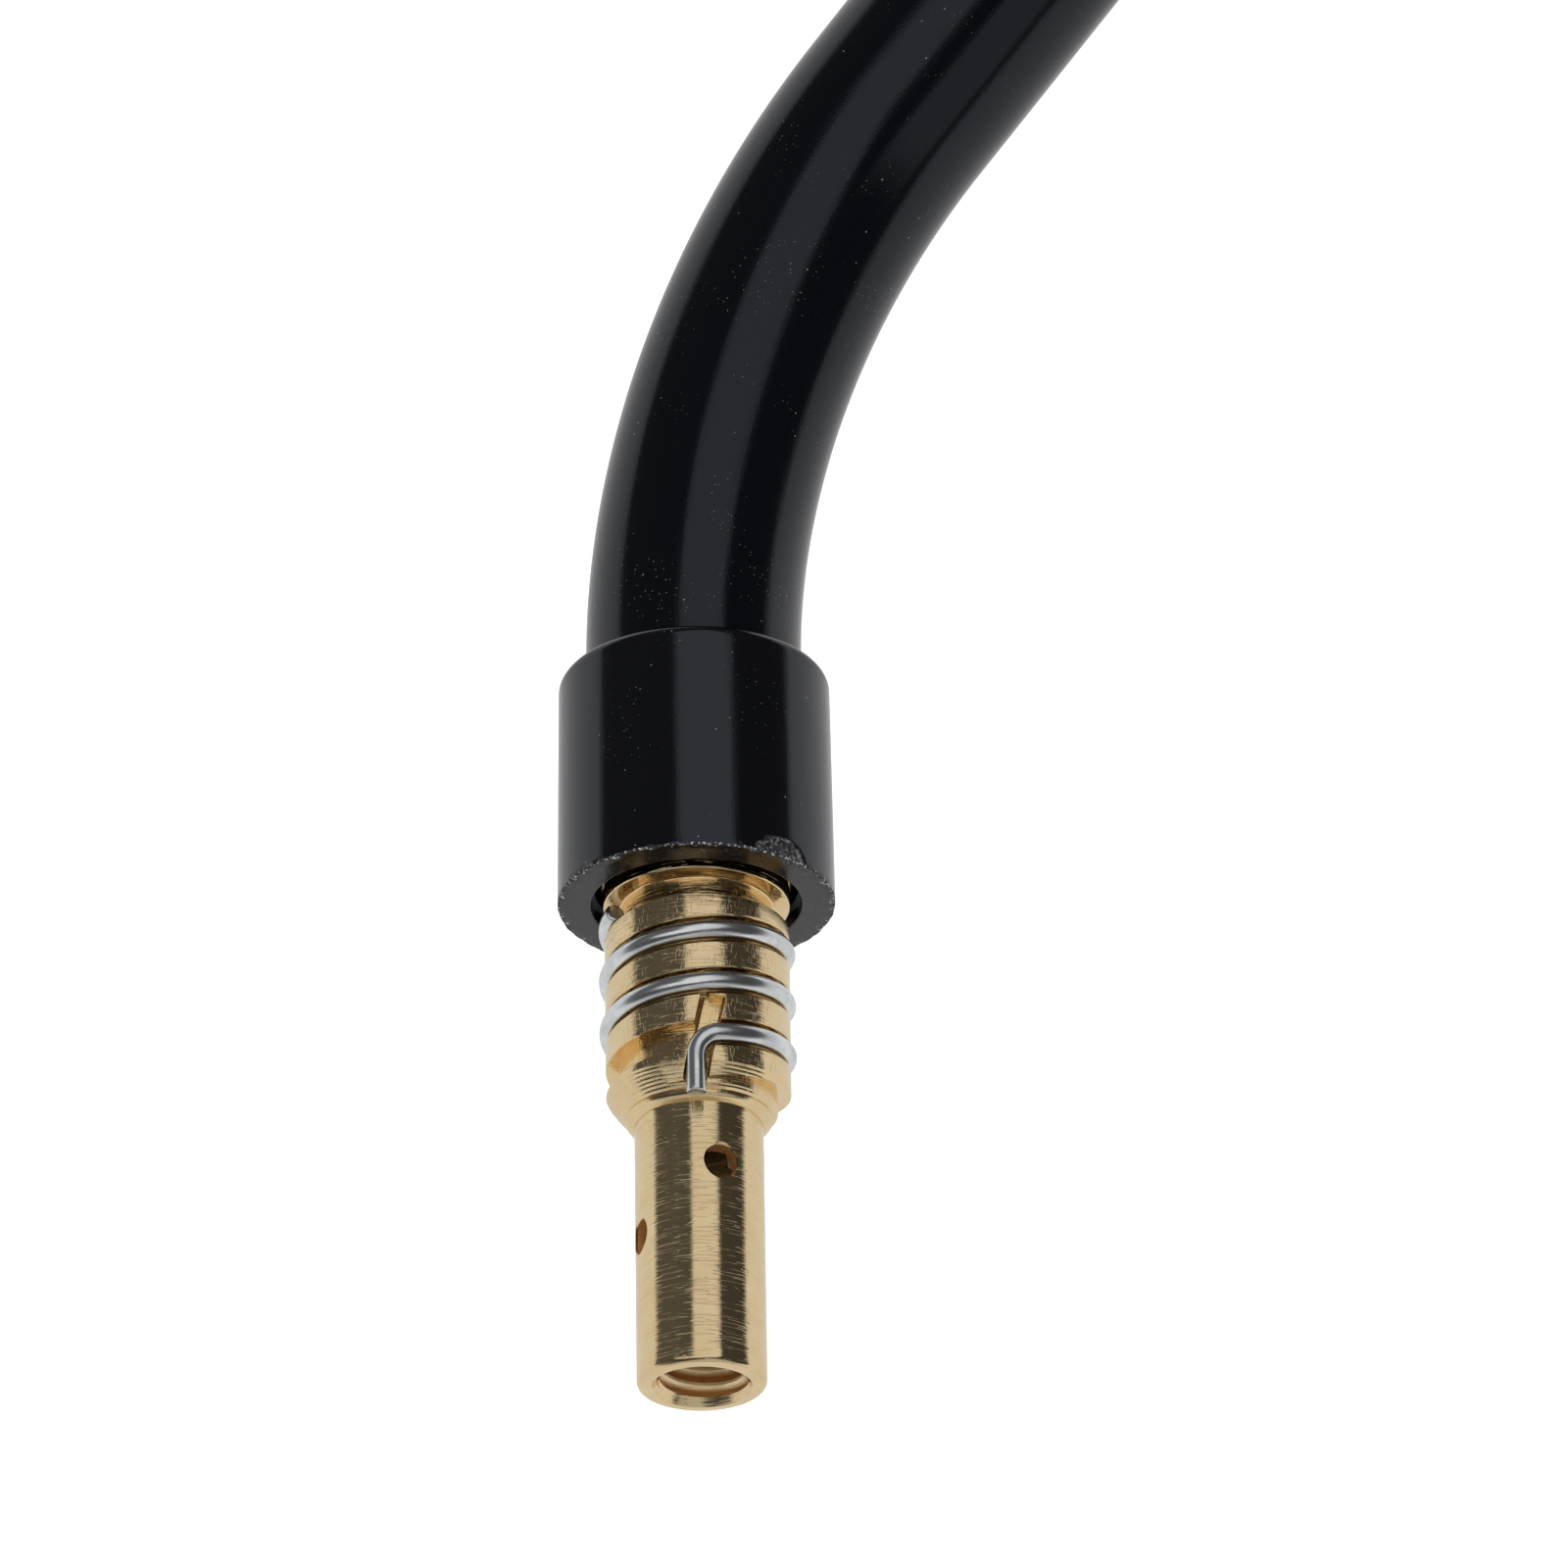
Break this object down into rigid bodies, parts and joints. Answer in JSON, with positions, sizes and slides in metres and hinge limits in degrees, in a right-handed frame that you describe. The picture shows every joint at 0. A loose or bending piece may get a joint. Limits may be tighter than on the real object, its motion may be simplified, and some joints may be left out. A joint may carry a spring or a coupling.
{
  "type": "mig welding torch",
  "caption": "Light gas-cooled MIG welding torch with swan neck, bare tip holder with nozzle spring, two-shell handle and sprung trigger.",
  "frame": {"origin": "under the middle of the torch's box, on the surface that its right side rests on", "axes": "+X back along the handle to the cable end, -Y the trigger side that the neck bends towards, +Z from the right shell to the left shell"},
  "size_m": [0.3072, 0.0736, 0.034],
  "materials": {
    "tip_brass": "turned brass with fine ring marks",
    "neck_brass": "turned brass",
    "spring_steel": "zinc plated wire",
    "cap_black": "glossy moulded thermoset",
    "sheath_black": "glossy black insulation",
    "copper": "drawn copper",
    "liner_steel": "drawn steel wire",
    "shell_black": "fine spark-eroded texture",
    "ring_black": "smooth satin plastic",
    "pad_grey": "soft ribbed inlay",
    "screw_steel": "black oxide",
    "trigger_red": "satin moulded plastic",
    "switch_black": "moulded plastic",
    "plunger_white": "natural plastic",
    "tinned": "tinned"
  },
  "bodies": {
    "handle": {"tip_holder": "tip_brass", "nozzle_spring": "spring_steel", "insulating_cap": "cap_black", "neck_nose": "neck_brass", "neck_sheath": "sheath_black", "neck_tube": "copper", "wire_liner": "liner_steel", "neck_connector": "neck_brass", "handle_shell_left": "shell_black", "handle_shell_right": "shell_black", "front_ring": "ring_black", "rear_ring": "ring_black", "grip_pad_left": "pad_grey", "grip_pad_right": "pad_grey", "handle_screw_1": "screw_steel", "handle_screw_2": "screw_steel", "handle_screw_3": "screw_steel", "handle_screw_4": "screw_steel", "handle_screw_5": "screw_steel", "trigger_pin": "spring_steel", "trigger_spring": "spring_steel", "switch_case": "switch_black", "switch_lid": "switch_black", "switch_blade": "neck_brass", "switch_contact_terminal": "tinned", "switch_common_terminal": "tinned"},
    "trigger": {"trigger": "trigger_red"},
    "plunger": {"switch_plunger": "plunger_white"}
  },
  "joints": [
    {"name": "trigger_press", "type": "hinge", "parent": "handle", "child": "trigger", "pos_m": [-0.00838, 0.00583, 0.017], "axis": [0, 0, 1], "range_deg": [0, 3], "stiffness_Nm_per_rad": 0.5, "springref_deg": -11.46, "deforming": ["trigger_spring"]},
    {"name": "plunger_travel", "type": "slide", "parent": "handle", "child": "plunger", "axis": [0, 1, 0], "range_m": [0, 0.0011], "deforming": ["switch_blade"]}
  ],
  "couplings": [
    {"joint": "plunger_travel", "follows": "trigger_press", "m_per_rad": 0.02}
  ]
}
